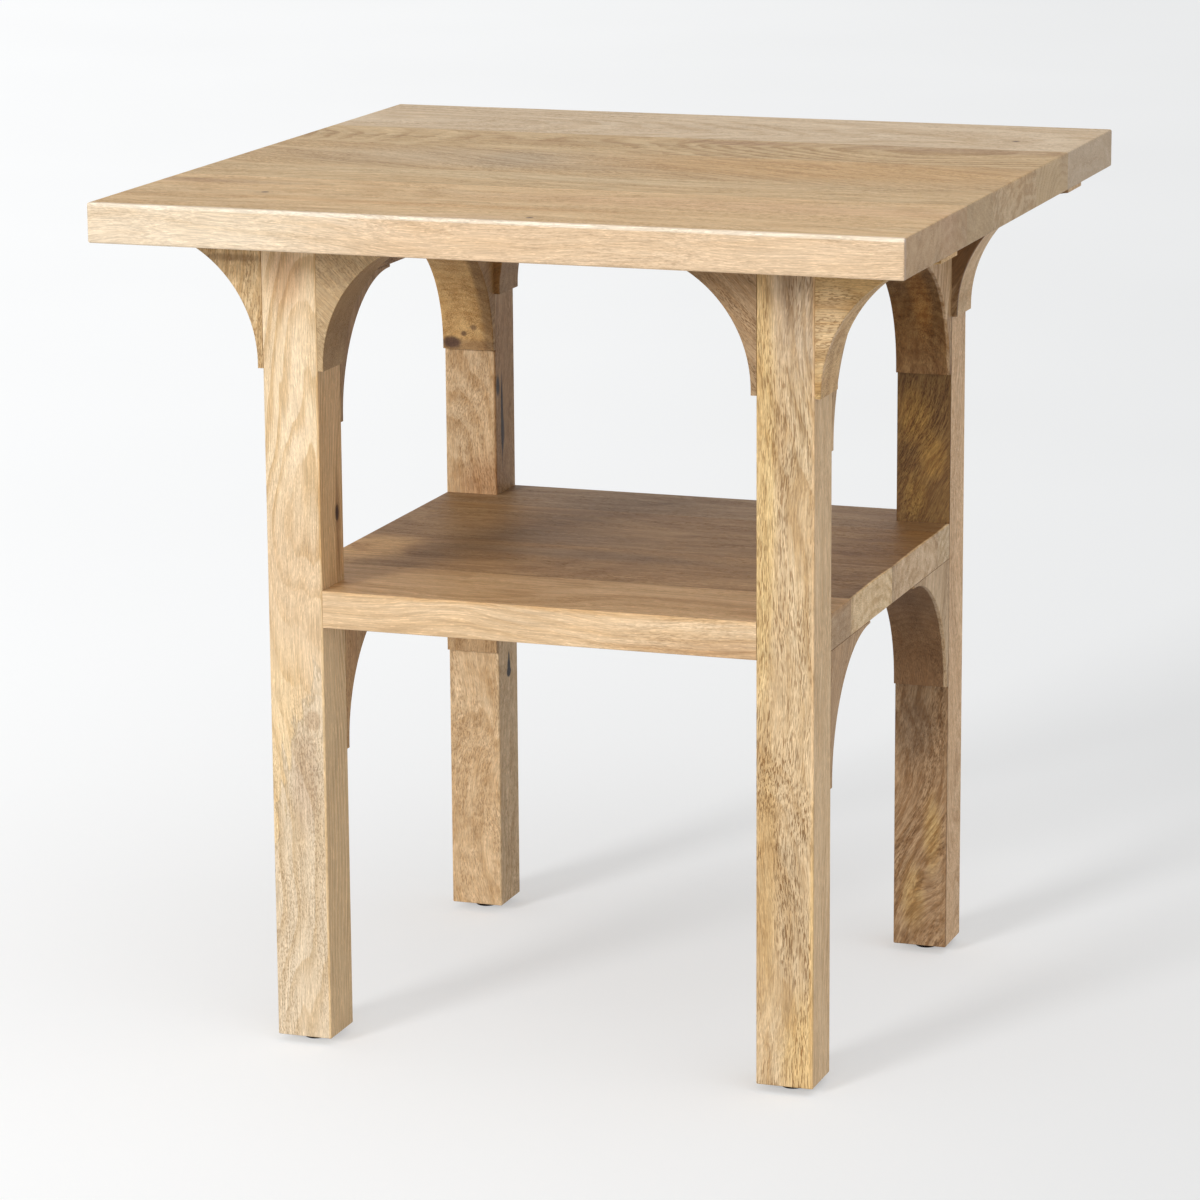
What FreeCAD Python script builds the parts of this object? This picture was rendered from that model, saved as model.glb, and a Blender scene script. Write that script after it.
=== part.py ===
import FreeCAD, Part
import os
import Sketcher
from FreeCAD import Placement, Rotation, Vector

# Square accent table of solid wood.
# Frame: origin on the floor under the middle of the top, +Z up, front at -Y, right at +X.
# Five glued boards make the top and four make the shelf, all with their grain along X.
# Two cross rails tie each front leg to the back leg behind it, and carry the top on screws.
# Sixteen quarter-round brackets of one radius stand in the corners between legs, top, rails and shelf.

# Driving sizes in millimetres
SIZES = {
    "total_height": 600.0,
    "top_width": 560.0,
    "top_depth": 560.0,
    "top_thickness": 27.0,
    "leg_section": 40.0,
    "side_overhang": 85.0,
    "front_overhang": 90.0,
    "rail_height": 42.0,
    "shelf_level": 326.0,
    "shelf_thickness": 26.0,
    "bracket_radius": 90.0,
    "bracket_foot": 4.0,
    "bracket_toe": 3.0,
    "bracket_tip": 2.0,
    "bracket_inset": 1.0,
    "board_edge_radius": 1.5,
    "leg_edge_radius": 1.0,
    "bracket_edge_radius": 0.8,
    "shelf_edge_radius": 0.8,
    "rail_edge_radius": 0.8,
    "dowel_diameter": 8.0,
    "dowel_length": 28.0,
    "dowel_chamfer": 1.0,
    "dowel_clearance": 0.1,
    "dowel_reach": 24.0,
    "hole_end_gap": 0.5,
    "screw_diameter": 4.5,
    "screw_length": 38.0,
    "screw_head_diameter": 9.0,
    "screw_head_height": 3.0,
    "screw_spacing": 40.0,
    "screw_slack": 1.0,
    "screw_clearance": 0.1,
    "counterbore_diameter": 12.0,
    "counterbore_depth": 20.0,
    "glide_diameter": 17.0,
    "glide_height": 5.5,
    "glide_edge_radius": 2.0,
    "nail_diameter": 2.6,
    "nail_length": 20.0,
    "nail_head_diameter": 7.0,
    "nail_head_height": 1.4,
    "nail_recess": 1.0,
    "nail_clearance": 0.1,
}

# Where the glue seams run, as shares of the depth counted from the front
TOP_SEAM_SHARES = (0.268, 0.388, 0.598, 0.759)
SHELF_SEAM_SHARES = (0.228, 0.495, 0.814)

# Rail dowels sit at these shares of the rail's height, and the bracket dowels between them
RAIL_DOWEL_SHARES = (0.25, 0.75)

# Places worked out from the sizes, as expressions that the document can read
UNDERSIDE = "(sizes.total_height - sizes.top_thickness)"
LEG_LENGTH = f"({UNDERSIDE} - sizes.glide_height)"
HALF_LEG = "(sizes.leg_section / 2)"
OUTER_X = "(sizes.top_width / 2 - sizes.side_overhang)"
OUTER_Y = "(sizes.top_depth / 2 - sizes.front_overhang)"
LEG_X = f"({OUTER_X} - {HALF_LEG})"
LEG_Y = f"({OUTER_Y} - {HALF_LEG})"
INNER_X = f"({OUTER_X} - sizes.leg_section)"
INNER_Y = f"({OUTER_Y} - sizes.leg_section)"
RAIL_BOTTOM = f"({UNDERSIDE} - sizes.rail_height)"
SHELF_BOTTOM = "(sizes.shelf_level - sizes.shelf_thickness)"
SHELF_DEPTH = f"(2 * {OUTER_Y})"
BRACKET_HEIGHT = "(sizes.bracket_tip + sizes.bracket_radius + sizes.bracket_toe)"
FULL_REACH = "(sizes.bracket_foot + sizes.bracket_radius)"
OUTER_REACH = f"min(sizes.side_overhang - sizes.bracket_inset; {FULL_REACH})"
DOWEL_DROP = "(sizes.rail_height / 2)"
HOLE_DIAMETER = "(sizes.dowel_diameter + 2 * sizes.dowel_clearance)"
HOLE_DEPTH = "(sizes.dowel_length / 2 + sizes.hole_end_gap)"
PILOT_DIAMETER = "(sizes.screw_diameter + 2 * sizes.screw_clearance)"
SCREW_BITE = "(sizes.screw_length - (sizes.rail_height - sizes.counterbore_depth))"
NAIL_BITE = "(sizes.nail_length - (sizes.glide_height - sizes.nail_recess))"

# The four corners of the table: name, side along X, side along Y
CORNERS = (("front_left", -1, -1), ("front_right", 1, -1), ("back_left", -1, 1), ("back_right", 1, 1))
SIDES = (("left", -1), ("right", 1))

# The screws of a rail, as places along it from its middle
SCREW_STEPS = ("-sizes.screw_spacing", "0", "sizes.screw_spacing")

# Places closer than this are one place
SAME_PLACE = 0.0001

# How a sketch numbers its own origin and axes, and the points of a line, arc or circle
ORIGIN, X_AXIS, Y_AXIS = -1, -1, -2
START, END, CENTRE = range(1, 4)

doc = FreeCAD.newDocument("accent_table")
sizes = doc.addObject("Spreadsheet::Sheet", "sizes")
subparts = []


def fill_sheet():
    """Write every driving size and seam share to the sheet as a plain number with an alias."""
    rows = dict(SIZES)
    tables = {"top_seam": TOP_SEAM_SHARES, "shelf_seam": SHELF_SEAM_SHARES, "rail_dowel": RAIL_DOWEL_SHARES}
    for name, shares in tables.items():
        for count, share in enumerate(shares, 1):
            rows[f"{name}_share_{count}"] = share
    for row, (alias, value) in enumerate(rows.items(), 1):
        sizes.set(f"A{row}", alias)
        sizes.set(f"B{row}", str(value))
        sizes.setAlias(f"B{row}", alias)
    doc.recompute()


def number(expression):
    """The value of an expression on the sheet, as a plain number."""
    value = sizes.evalExpression(expression.replace("sizes.", ""))
    return float(getattr(value, "Value", value))


def signed(side, expression):
    """The expression on one side of the middle plane."""
    return expression if side > 0 else f"-{expression}"


def new_body(name):
    """A body that becomes the node of this name."""
    body = doc.addObject("PartDesign::Body", name)
    body.Label = name
    return body


def new_sketch(body, name, role, offset=None):
    """A sketch on an origin plane of the body, moved along its normal by an expression."""
    sketch = body.newObject("Sketcher::SketchObject", name)
    plane = next(item for item in body.Origin.OriginFeatures if item.Role == role)
    sketch.AttachmentSupport = [(plane, "")]
    sketch.MapMode = "FlatFace"
    if offset:
        sketch.setExpression("AttachmentOffset.Base.z", offset)
    return sketch


def bind(sketch, constraint, expression):
    """Add a driving constraint whose value follows an expression."""
    index = sketch.addConstraint(constraint)
    sketch.setExpression(f"Constraints[{index}]", expression)


def pin(sketch, item, point, x, y):
    """Fix a point of the sketch at two expressions, measured from the origin."""
    if x == "0":
        sketch.addConstraint(Sketcher.Constraint("PointOnObject", item, point, Y_AXIS))
    else:
        bind(sketch, Sketcher.Constraint("DistanceX", ORIGIN, START, item, point, number(x)), x)
    if y == "0":
        sketch.addConstraint(Sketcher.Constraint("PointOnObject", item, point, X_AXIS))
    else:
        bind(sketch, Sketcher.Constraint("DistanceY", ORIGIN, START, item, point, number(y)), y)


def draw_outline(sketch, corners):
    """A closed outline of straight lines through corners given as pairs of expressions."""
    points = [Vector(number(x), number(y), 0) for x, y in corners]
    for index, point in enumerate(points):
        following = points[(index + 1) % len(points)]
        sketch.addGeometry(Part.LineSegment(point, following), False)
    for index, (x, y) in enumerate(corners):
        previous = (index - 1) % len(corners)
        sketch.addConstraint(Sketcher.Constraint("Coincident", previous, END, index, START))
        pin(sketch, index, START, x, y)


def draw_holes(sketch, centres, diameter):
    """Circles of one diameter at centres given as pairs of expressions."""
    for x, y in centres:
        circle = Part.Circle(Vector(number(x), number(y), 0), Vector(0, 0, 1), number(diameter) / 2)
        item = sketch.addGeometry(circle, False)
        pin(sketch, item, CENTRE, x, y)
        bind(sketch, Sketcher.Constraint("Diameter", item, number(diameter)), diameter)


def pad(body, sketch, length, middle=False):
    """Extrude a sketch, to one side or to both."""
    feature = body.newObject("PartDesign::Pad", f"{sketch.Name}_pad")
    feature.Profile = sketch
    feature.setExpression("Length", length)
    feature.Midplane = middle
    doc.recompute()
    return feature


def pocket(body, sketch, depth, along_normal=False):
    """Cut a sketch into the body and make sure that it removes material."""
    before = body.Shape.Volume
    feature = body.newObject("PartDesign::Pocket", f"{sketch.Name}_pocket")
    feature.Profile = sketch
    feature.setExpression("Length", depth)
    feature.Reversed = along_normal
    doc.recompute()
    if not body.Shape.Volume < before:
        raise RuntimeError(f"{feature.Name} removes nothing")
    return feature


def revolve(body, sketch):
    """Turn a sketch on the XZ plane once round the vertical axis."""
    feature = body.newObject("PartDesign::Revolution", f"{sketch.Name}_turn")
    feature.Profile = sketch
    feature.ReferenceAxis = (sketch, ["V_Axis"])
    feature.Angle = 360
    doc.recompute()
    return feature


def ease(body, base, wanted, radius):
    """Round the edges of a feature that the test picks."""
    names = []
    for index, edge in enumerate(base.Shape.Edges, 1):
        if wanted(edge):
            names.append(f"Edge{index}")
    feature = body.newObject("PartDesign::Fillet", f"{base.Name}_ease")
    feature.Base = (base, names)
    feature.setExpression("Radius", radius)
    doc.recompute()
    return feature


def place(item, x, y, z, turn=0):
    """Put an object at three expressions, turned about the vertical by some degrees."""
    item.Placement = Placement(Vector(0, 0, 0), Rotation(Vector(0, 0, 1), turn))
    for axis, expression in zip("xyz", (x, y, z)):
        if expression != "0":
            item.setExpression(f".Placement.Base.{axis}", expression)


def near(value, target):
    """True where two lengths are the same, apart from rounding."""
    return abs(value - target) < SAME_PLACE


def on_planes(edge, planes):
    """How many of the given planes (axis, place) an edge lies in."""
    box = edge.BoundBox
    lows = (box.XMin, box.YMin, box.ZMin)
    highs = (box.XMax, box.YMax, box.ZMax)
    return sum(near(lows[axis], where) and near(highs[axis], where) for axis, where in planes)


def seam_place(depth, prefix, index, count):
    """The place along Y of seam number index, where 0 and count are the outer edges."""
    if index == 0:
        return f"-{depth} / 2"
    if index == count:
        return f"{depth} / 2"
    return f"({depth} * sizes.{prefix}_{index} - {depth} / 2)"


def within(centre, diameter, low, high):
    """True where a hole across the boards reaches into the stretch from low to high."""
    reach = number(diameter) / 2
    return number(low) < number(centre) + reach and number(centre) - reach < number(high)


def make_top_board(index, count):
    """One board of the top, with the holes on its underside and its outer edges eased."""
    low = seam_place("sizes.top_depth", "top_seam_share", index - 1, count)
    high = seam_place("sizes.top_depth", "top_seam_share", index, count)
    half_width = "sizes.top_width / 2"
    body = new_body(f"top_board_{index}")
    sketch = new_sketch(body, f"{body.Name}_outline", "XY_Plane")
    draw_outline(sketch, [(f"-{half_width}", low), (half_width, low),
                          (half_width, high), (f"-{half_width}", high)])
    plank = pad(body, sketch, "sizes.top_thickness")

    planes = [(0, -number(half_width)), (0, number(half_width)), (2, 0), (2, number("sizes.top_thickness"))]
    if index == 1:
        planes.append((1, number(low)))
    if index == count:
        planes.append((1, number(high)))
    ease(body, plank, lambda edge: on_planes(edge, planes) == 2, "sizes.board_edge_radius")

    dowels = [centre for centre in top_dowel_centres() if within(centre[1], HOLE_DIAMETER, low, high)]
    if dowels:
        sketch = new_sketch(body, f"{body.Name}_dowel_holes", "XY_Plane")
        draw_holes(sketch, dowels, HOLE_DIAMETER)
        pocket(body, sketch, HOLE_DEPTH, along_normal=True)
    screws = [centre for centre in screw_centres() if within(centre[1], PILOT_DIAMETER, low, high)]
    if screws:
        sketch = new_sketch(body, f"{body.Name}_screw_holes", "XY_Plane")
        draw_holes(sketch, screws, PILOT_DIAMETER)
        pocket(body, sketch, f"{SCREW_BITE} + sizes.hole_end_gap", along_normal=True)
    place(body, "0", "0", UNDERSIDE)
    subparts.append(body)


def shelf_corners(index, count, low, high):
    """The corners of a shelf board. The first and the last board are notched where the legs stand."""
    if index not in (1, count):
        return [(f"-{OUTER_X}", low), (OUTER_X, low), (OUTER_X, high), (f"-{OUTER_X}", high)]
    outer, inner, notch = (low, high, f"-{INNER_Y}") if index == 1 else (high, low, INNER_Y)
    return [(f"-{INNER_X}", outer), (INNER_X, outer), (INNER_X, notch), (OUTER_X, notch),
            (OUTER_X, inner), (f"-{OUTER_X}", inner), (f"-{OUTER_X}", notch), (f"-{INNER_X}", notch)]


def make_shelf_board(index, count):
    """One board of the shelf, with its dowel holes and its outer edges eased."""
    low = seam_place(SHELF_DEPTH, "shelf_seam_share", index - 1, count)
    high = seam_place(SHELF_DEPTH, "shelf_seam_share", index, count)
    body = new_body(f"shelf_board_{index}")
    sketch = new_sketch(body, f"{body.Name}_outline", "XY_Plane")
    draw_outline(sketch, shelf_corners(index, count, low, high))
    plank = pad(body, sketch, "sizes.shelf_thickness")

    half_width = number(OUTER_X)
    outer = [(0, -half_width), (0, half_width)]
    if index == 1:
        outer.append((1, number(low)))
    if index == count:
        outer.append((1, number(high)))
    faces = [(2, 0), (2, number("sizes.shelf_thickness"))]
    ease(body, plank, lambda edge: on_planes(edge, outer) == 1 and on_planes(edge, faces) == 1,
         "sizes.shelf_edge_radius")

    dowels = [centre for centre in shelf_dowel_centres() if within(centre[1], HOLE_DIAMETER, low, high)]
    if dowels:
        sketch = new_sketch(body, f"{body.Name}_dowel_holes", "XY_Plane")
        draw_holes(sketch, dowels, HOLE_DIAMETER)
        pocket(body, sketch, HOLE_DEPTH, along_normal=True)
    for end, side in ((1, -1), (count, 1)):
        if index == end:
            offset = signed(-side, INNER_Y)
            sketch = new_sketch(body, f"{body.Name}_leg_holes", "XZ_Plane", offset)
            draw_holes(sketch, [(signed(across, LEG_X), "sizes.shelf_thickness / 2") for _, across in SIDES],
                       HOLE_DIAMETER)
            pocket(body, sketch, HOLE_DEPTH, along_normal=side > 0)
    place(body, "0", "0", SHELF_BOTTOM)
    subparts.append(body)


def make_leg(corner, side_x, side_y):
    """A square leg. Its own +Y looks inwards, to the rail and the shelf."""
    body = new_body(f"leg_{corner}")
    sketch = new_sketch(body, f"{body.Name}_section", "XY_Plane")
    draw_outline(sketch, [(f"-{HALF_LEG}", f"-{HALF_LEG}"), (HALF_LEG, f"-{HALF_LEG}"),
                          (HALF_LEG, HALF_LEG), (f"-{HALF_LEG}", HALF_LEG)])
    post = pad(body, sketch, LEG_LENGTH)
    half = number(HALF_LEG)
    walls, foot = [(0, -half), (0, half), (1, -half), (1, half)], [(2, 0)]
    ease(body, post, lambda edge: on_planes(edge, walls) + on_planes(edge, foot) == 2,
         "sizes.leg_edge_radius")

    for name, side in SIDES:
        sketch = new_sketch(body, f"{body.Name}_{name}_holes", "YZ_Plane", signed(side, HALF_LEG))
        draw_holes(sketch, [("0", f"{LEG_LENGTH} - {DOWEL_DROP}")], HOLE_DIAMETER)
        pocket(body, sketch, HOLE_DEPTH, along_normal=side < 0)

    sketch = new_sketch(body, f"{body.Name}_inner_holes", "XZ_Plane", f"-{HALF_LEG}")
    levels = [f"{level} - sizes.glide_height" for level in inner_dowel_levels()]
    draw_holes(sketch, [("0", level) for level in levels], HOLE_DIAMETER)
    pocket(body, sketch, HOLE_DEPTH, along_normal=True)

    sketch = new_sketch(body, f"{body.Name}_nail_hole", "XY_Plane")
    draw_holes(sketch, [("0", "0")], "(sizes.nail_diameter + 2 * sizes.nail_clearance)")
    pocket(body, sketch, f"{NAIL_BITE} + sizes.hole_end_gap", along_normal=True)
    place(body, signed(side_x, LEG_X), signed(side_y, LEG_Y), "sizes.glide_height", 0 if side_y < 0 else 180)
    subparts.append(body)


def make_rail(name, side):
    """A cross rail under the top, between a front leg and the back leg behind it."""
    body = new_body(f"top_rail_{name}")
    sketch = new_sketch(body, f"{body.Name}_section", "XZ_Plane")
    draw_outline(sketch, [(f"-{HALF_LEG}", "0"), (HALF_LEG, "0"),
                          (HALF_LEG, "sizes.rail_height"), (f"-{HALF_LEG}", "sizes.rail_height")])
    bar = pad(body, sketch, f"2 * {INNER_Y}", middle=True)
    half = number(HALF_LEG)
    walls, underside = [(0, -half), (0, half)], [(2, 0)]
    ease(body, bar, lambda edge: on_planes(edge, walls) == 1 and on_planes(edge, underside) == 1,
         "sizes.rail_edge_radius")

    for end, offset in (("front", INNER_Y), ("back", f"-{INNER_Y}")):
        sketch = new_sketch(body, f"{body.Name}_{end}_holes", "XZ_Plane", offset)
        levels = [f"sizes.rail_height * sizes.rail_dowel_share_{count}" for count in (1, 2)]
        draw_holes(sketch, [("0", level) for level in levels], HOLE_DIAMETER)
        pocket(body, sketch, HOLE_DEPTH, along_normal=end == "back")

    reach = f"({INNER_Y} - sizes.dowel_reach)"
    sketch = new_sketch(body, f"{body.Name}_bracket_holes", "XY_Plane")
    draw_holes(sketch, [("0", f"-{reach}"), ("0", reach)], HOLE_DIAMETER)
    pocket(body, sketch, HOLE_DEPTH, along_normal=True)

    spots = [("0", step) for step in SCREW_STEPS]
    sketch = new_sketch(body, f"{body.Name}_counterbores", "XY_Plane")
    draw_holes(sketch, spots, "sizes.counterbore_diameter")
    pocket(body, sketch, "sizes.counterbore_depth", along_normal=True)
    sketch = new_sketch(body, f"{body.Name}_screw_holes", "XY_Plane")
    draw_holes(sketch, spots, "(sizes.screw_diameter + 2 * sizes.screw_slack)")
    pocket(body, sketch, "sizes.rail_height", along_normal=True)
    place(body, signed(side, LEG_X), "0", RAIL_BOTTOM)
    subparts.append(body)


def draw_bracket(sketch, reach):
    """The outline of a bracket: a straight back and seat, joined by a hollow arc from the toe to the tip."""
    radius, foot, drop, height, tip = (number(item) for item in (
        "sizes.bracket_radius", "sizes.bracket_foot", "sizes.bracket_toe", BRACKET_HEIGHT, reach))
    centre = Vector(foot + radius, drop - height, 0)
    rise = (radius ** 2 - (centre.x - tip) ** 2) ** 0.5
    corners = [Vector(0, 0, 0), Vector(0, -height, 0), Vector(foot, -height, 0), Vector(foot, centre.y, 0),
               Vector(tip, centre.y + rise, 0), Vector(tip, 0, 0)]
    circle = Part.Circle(centre, Vector(0, 0, 1), radius)
    hollow = Part.ArcOfCircle(circle, circle.parameter(corners[4]), circle.parameter(corners[3]))
    back, toe, lip, curve, end, seat = range(6)
    for piece in (Part.LineSegment(corners[0], corners[1]), Part.LineSegment(corners[1], corners[2]),
                  Part.LineSegment(corners[2], corners[3]), hollow,
                  Part.LineSegment(corners[4], corners[5]), Part.LineSegment(corners[5], corners[0])):
        sketch.addGeometry(piece, False)
    for one, one_end, other, other_end in ((back, END, toe, START), (toe, END, lip, START),
                                           (lip, END, curve, END), (curve, START, end, START),
                                           (end, END, seat, START), (seat, END, back, START)):
        sketch.addConstraint(Sketcher.Constraint("Coincident", one, one_end, other, other_end))
    sketch.addConstraint(Sketcher.Constraint("Coincident", back, START, ORIGIN, START))
    for line in (back, lip, end):
        sketch.addConstraint(Sketcher.Constraint("Vertical", line))
    for line in (toe, seat):
        sketch.addConstraint(Sketcher.Constraint("Horizontal", line))
    sketch.addConstraint(Sketcher.Constraint("Horizontal", lip, END, curve, CENTRE))
    bind(sketch, Sketcher.Constraint("DistanceY", back, END, back, START, height), BRACKET_HEIGHT)
    bind(sketch, Sketcher.Constraint("DistanceX", toe, START, toe, END, foot), "sizes.bracket_foot")
    bind(sketch, Sketcher.Constraint("DistanceY", lip, START, lip, END, drop), "sizes.bracket_toe")
    bind(sketch, Sketcher.Constraint("Radius", curve, radius), "sizes.bracket_radius")
    bind(sketch, Sketcher.Constraint("DistanceX", seat, END, seat, START, tip), reach)


def make_bracket(name, reach, x, y, z, turn):
    """A quarter-round bracket. Its own origin is the corner between leg and board, +X away from the leg."""
    body = new_body(name)
    sketch = new_sketch(body, f"{name}_outline", "XZ_Plane")
    draw_bracket(sketch, reach)
    block = pad(body, sketch, "sizes.leg_section", middle=True)
    ease(body, block, lambda edge: edge.Curve.TypeId == "Part::GeomCircle", "sizes.bracket_edge_radius")

    sketch = new_sketch(body, f"{name}_leg_hole", "YZ_Plane")
    draw_holes(sketch, [("0", f"-{DOWEL_DROP}")], HOLE_DIAMETER)
    pocket(body, sketch, HOLE_DEPTH, along_normal=True)
    sketch = new_sketch(body, f"{name}_seat_hole", "XY_Plane")
    draw_holes(sketch, [("sizes.dowel_reach", "0")], HOLE_DIAMETER)
    pocket(body, sketch, HOLE_DEPTH)
    place(body, x, y, z, turn)
    subparts.append(body)


def make_brackets(corner, side_x, side_y):
    """The four brackets of one leg: outwards and inwards along X, under the rail and under the shelf."""
    leg_y = signed(side_y, LEG_Y)
    outwards, inwards = (0, 180) if side_x > 0 else (180, 0)
    make_bracket(f"outer_bracket_{corner}", OUTER_REACH, signed(side_x, OUTER_X), leg_y,
                 UNDERSIDE, outwards)
    make_bracket(f"inner_bracket_{corner}", FULL_REACH, signed(side_x, INNER_X), leg_y, UNDERSIDE, inwards)
    turn = 90 if side_y < 0 else 270
    for kind, level in (("rail", RAIL_BOTTOM), ("shelf", SHELF_BOTTOM)):
        make_bracket(f"{kind}_bracket_{corner}", FULL_REACH, signed(side_x, LEG_X), signed(side_y, INNER_Y),
                     level, turn)


def make_glide(corner, side_x, side_y):
    """A round floor glide with a recess for its nail."""
    body = new_body(f"floor_glide_{corner}")
    sketch = new_sketch(body, f"{body.Name}_profile", "XZ_Plane")
    rim = "sizes.glide_diameter / 2"
    bore = "(sizes.nail_diameter / 2 + sizes.nail_clearance)"
    cup = "(sizes.nail_head_diameter / 2 + sizes.nail_clearance)"
    ledge = "(sizes.nail_recess + sizes.nail_head_height)"
    draw_outline(sketch, [(cup, "0"), (rim, "0"), (rim, "sizes.glide_height"), (bore, "sizes.glide_height"),
                          (bore, ledge), (cup, ledge)])
    disc = revolve(body, sketch)
    outer = number(rim)
    ease(body, disc, lambda edge: on_planes(edge, [(2, 0)]) == 1 and near(edge.BoundBox.XMax, outer),
         "sizes.glide_edge_radius")
    place(body, signed(side_x, LEG_X), signed(side_y, LEG_Y), "0")
    subparts.append(body)


def make_turned_pin(name, corners):
    """The one shape of a group of like pins, turned from a half profile. It is the pattern, not a piece."""
    body = new_body(name)
    sketch = new_sketch(body, f"{name}_profile", "XZ_Plane")
    draw_outline(sketch, corners)
    revolve(body, sketch)
    return body


def make_group(name, pattern, placements):
    """One node of separate like solids: a copy of the pattern at each place and turn."""
    copies = []
    for count, (x, y, z, axis, turn) in enumerate(placements, 1):
        copy = doc.addObject("App::Link", f"{name}_{count}")
        copy.LinkedObject = pattern
        copy.LinkTransform = False
        copy.LinkPlacement = Placement(Vector(number(x), number(y), number(z)), Rotation(axis, turn))
        copies.append(copy)
    group = doc.addObject("Part::Compound", name)
    group.Label = name
    group.Links = copies
    doc.recompute()
    subparts.append(group)


def top_dowel_centres():
    """Where the X brackets are dowelled into the top."""
    centres = []
    for _, side_x, side_y in CORNERS:
        leg_y = signed(side_y, LEG_Y)
        centres.append((signed(side_x, f"({OUTER_X} + sizes.dowel_reach)"), leg_y))
        centres.append((signed(side_x, f"({INNER_X} - sizes.dowel_reach)"), leg_y))
    return centres


def shelf_dowel_centres():
    """Where the shelf brackets are dowelled into the shelf."""
    reach = f"({INNER_Y} - sizes.dowel_reach)"
    return [(signed(side_x, LEG_X), signed(side_y, reach)) for _, side_x, side_y in CORNERS]


def screw_centres():
    """Where the rails are screwed to the top, three screws to a rail."""
    return [(signed(side, LEG_X), step) for _, side in SIDES for step in SCREW_STEPS]


def inner_dowel_levels():
    """Heights above the floor of the dowels in the inner face of a leg."""
    levels = [f"{RAIL_BOTTOM} + sizes.rail_height * sizes.rail_dowel_share_{count}" for count in (1, 2)]
    levels.append(f"{RAIL_BOTTOM} - {DOWEL_DROP}")
    levels.append(f"{SHELF_BOTTOM} + sizes.shelf_thickness / 2")
    levels.append(f"{SHELF_BOTTOM} - {DOWEL_DROP}")
    return levels


def make_dowels():
    """All the dowels, which are alike: half of each lies in either piece."""
    radius, half, chamfer = "sizes.dowel_diameter / 2", "sizes.dowel_length / 2", "sizes.dowel_chamfer"
    pattern = make_turned_pin("dowel_pattern", [
        ("0", f"-{half}"), (f"{radius} - {chamfer}", f"-{half}"), (radius, f"-{half} + {chamfer}"),
        (radius, f"{half} - {chamfer}"), (f"{radius} - {chamfer}", half), ("0", half)])
    along_x, along_y, upright = (Vector(0, 1, 0), 90), (Vector(1, 0, 0), 90), (Vector(0, 0, 1), 0)
    spots = []
    for _, side_x, side_y in CORNERS:
        leg_x, leg_y = signed(side_x, LEG_X), signed(side_y, LEG_Y)
        for wall in (OUTER_X, INNER_X):
            spots.append((signed(side_x, wall), leg_y, f"{UNDERSIDE} - {DOWEL_DROP}", *along_x))
        for level in inner_dowel_levels():
            spots.append((leg_x, signed(side_y, INNER_Y), level, *along_y))
    for x, y in top_dowel_centres():
        spots.append((x, y, UNDERSIDE, *upright))
    for x, y in shelf_dowel_centres():
        spots.append((x, y, SHELF_BOTTOM, *upright))
        spots.append((x, y, RAIL_BOTTOM, *upright))
    make_group("joint_dowels", pattern, spots)


def make_screws():
    """The screws that hold the top down on the rails, heads in the counterbores."""
    shank, head = "sizes.screw_diameter / 2", "sizes.screw_head_diameter / 2"
    length, thickness = "sizes.screw_length", "sizes.screw_head_height"
    pattern = make_turned_pin("screw_pattern", [
        ("0", f"-{thickness}"), (head, f"-{thickness}"), (head, "0"), (shank, "0"),
        (shank, f"{length} - {shank}"), ("0", length)])
    upright = (Vector(0, 0, 1), 0)
    seat = f"{RAIL_BOTTOM} + sizes.counterbore_depth"
    make_group("top_screws", pattern, [(x, y, seat, *upright) for x, y in screw_centres()])


def make_nails():
    """The nails that hold the glides to the leg ends."""
    shank, head = "sizes.nail_diameter / 2", "sizes.nail_head_diameter / 2"
    length, thickness = "sizes.nail_length", "sizes.nail_head_height"
    pattern = make_turned_pin("nail_pattern", [
        ("0", "0"), (head, "0"), (head, thickness), (shank, thickness),
        (shank, f"{length} - {shank}"), ("0", length)])
    upright = (Vector(0, 0, 1), 0)
    spots = [(signed(side_x, LEG_X), signed(side_y, LEG_Y), "sizes.nail_recess", *upright)
             for _, side_x, side_y in CORNERS]
    make_group("glide_nails", pattern, spots)


def check_and_export():
    """Stop if anything failed, and otherwise write one file for each sub-part."""
    doc.recompute()
    for item in doc.Objects:
        if "Invalid" in item.State or "Error" in item.State:
            raise RuntimeError(f"{item.Name} did not recompute: {item.State}")
    for item in subparts:
        shape = item.Shape
        if shape.isNull() or not shape.isValid() or not shape.Solids:
            raise RuntimeError(f"{item.Label} has no valid solid")
    os.makedirs("parts", exist_ok=True)
    for item in subparts:
        item.Shape.exportStep(f"parts/{item.Label}.step")
        print(f"{item.Label}: {len(item.Shape.Solids)} solid(s), {item.Shape.Volume:.0f} mm3")


fill_sheet()
for board in range(1, len(TOP_SEAM_SHARES) + 2):
    make_top_board(board, len(TOP_SEAM_SHARES) + 1)
for board in range(1, len(SHELF_SEAM_SHARES) + 2):
    make_shelf_board(board, len(SHELF_SEAM_SHARES) + 1)
for rail_name, rail_side in SIDES:
    make_rail(rail_name, rail_side)
for corner_name, corner_x, corner_y in CORNERS:
    make_leg(corner_name, corner_x, corner_y)
    make_brackets(corner_name, corner_x, corner_y)
    make_glide(corner_name, corner_x, corner_y)
make_dowels()
make_screws()
make_nails()
check_and_export()
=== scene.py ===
import math
from collections import namedtuple
import bpy
from mathutils import Matrix, Vector

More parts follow.
